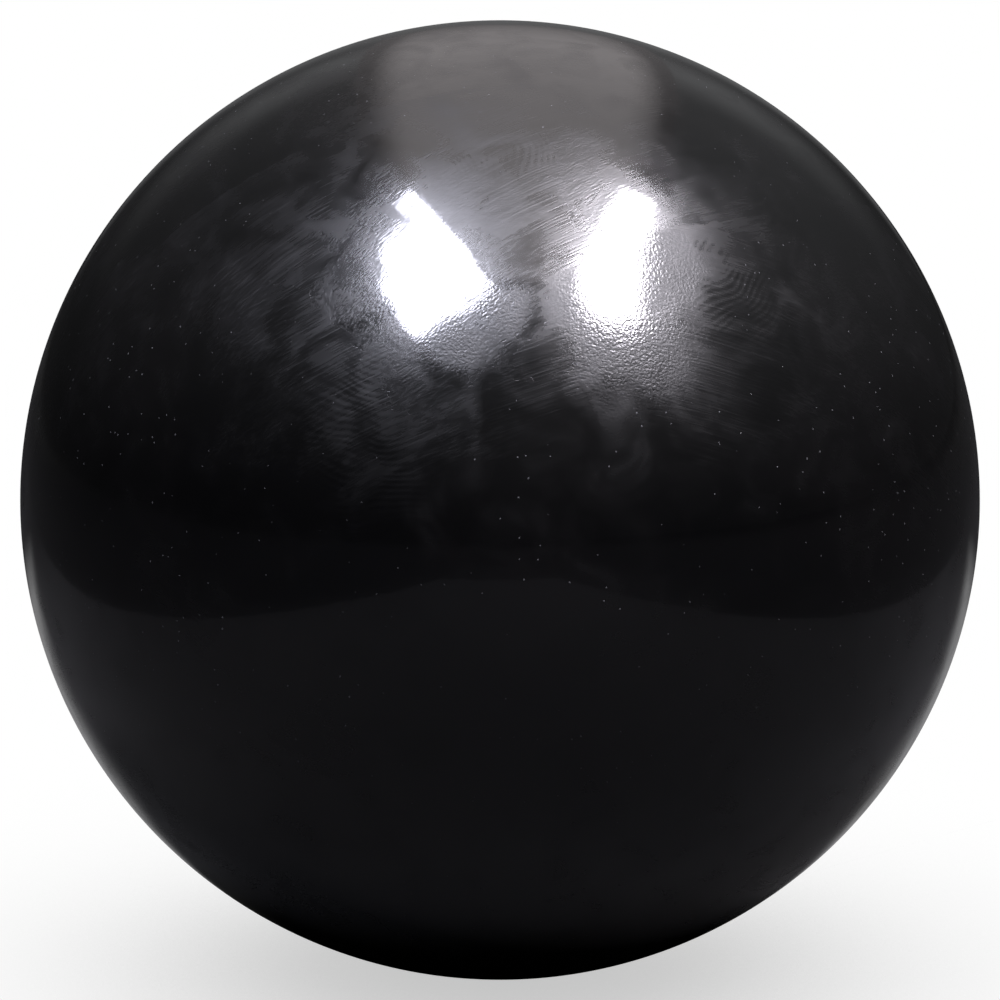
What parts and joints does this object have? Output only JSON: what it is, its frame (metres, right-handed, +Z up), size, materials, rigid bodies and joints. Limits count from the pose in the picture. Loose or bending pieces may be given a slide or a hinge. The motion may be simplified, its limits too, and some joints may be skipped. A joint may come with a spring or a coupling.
{
  "type": "case opening friction ball",
  "caption": "Hollow, inflated tacky rubber ball that grips and turns screwed watch case backs by friction, with a self-sealing needle valve.",
  "frame": {"origin": "the ball's centre", "axes": "+Z up, +Y out along the axis of the valve, which is at the back, +X to the right"},
  "size_m": [0.075, 0.0746, 0.075],
  "materials": {
    "tacky_rubber": "glossy, soft and tacky, with a faint film of smears and dust",
    "carcass_rubber": "matte moulded rubber",
    "rubber_cement": "cured amber cement, semi-gloss",
    "valve_rubber": "matte moulded rubber",
    "core_rubber": "satin moulded rubber"
  },
  "bodies": {
    "ball": {"grip_skin": "tacky_rubber", "front_half_shell": "carcass_rubber", "rear_half_shell": "carcass_rubber", "seam_cement": "rubber_cement", "valve_seat": "valve_rubber"},
    "valve_core": {"valve_core": "core_rubber"}
  },
  "joints": [
    {"name": "valve_core_pull", "type": "slide", "parent": "ball", "child": "valve_core", "axis": [0, 1, 0], "range_m": [0, 0.024]}
  ]
}
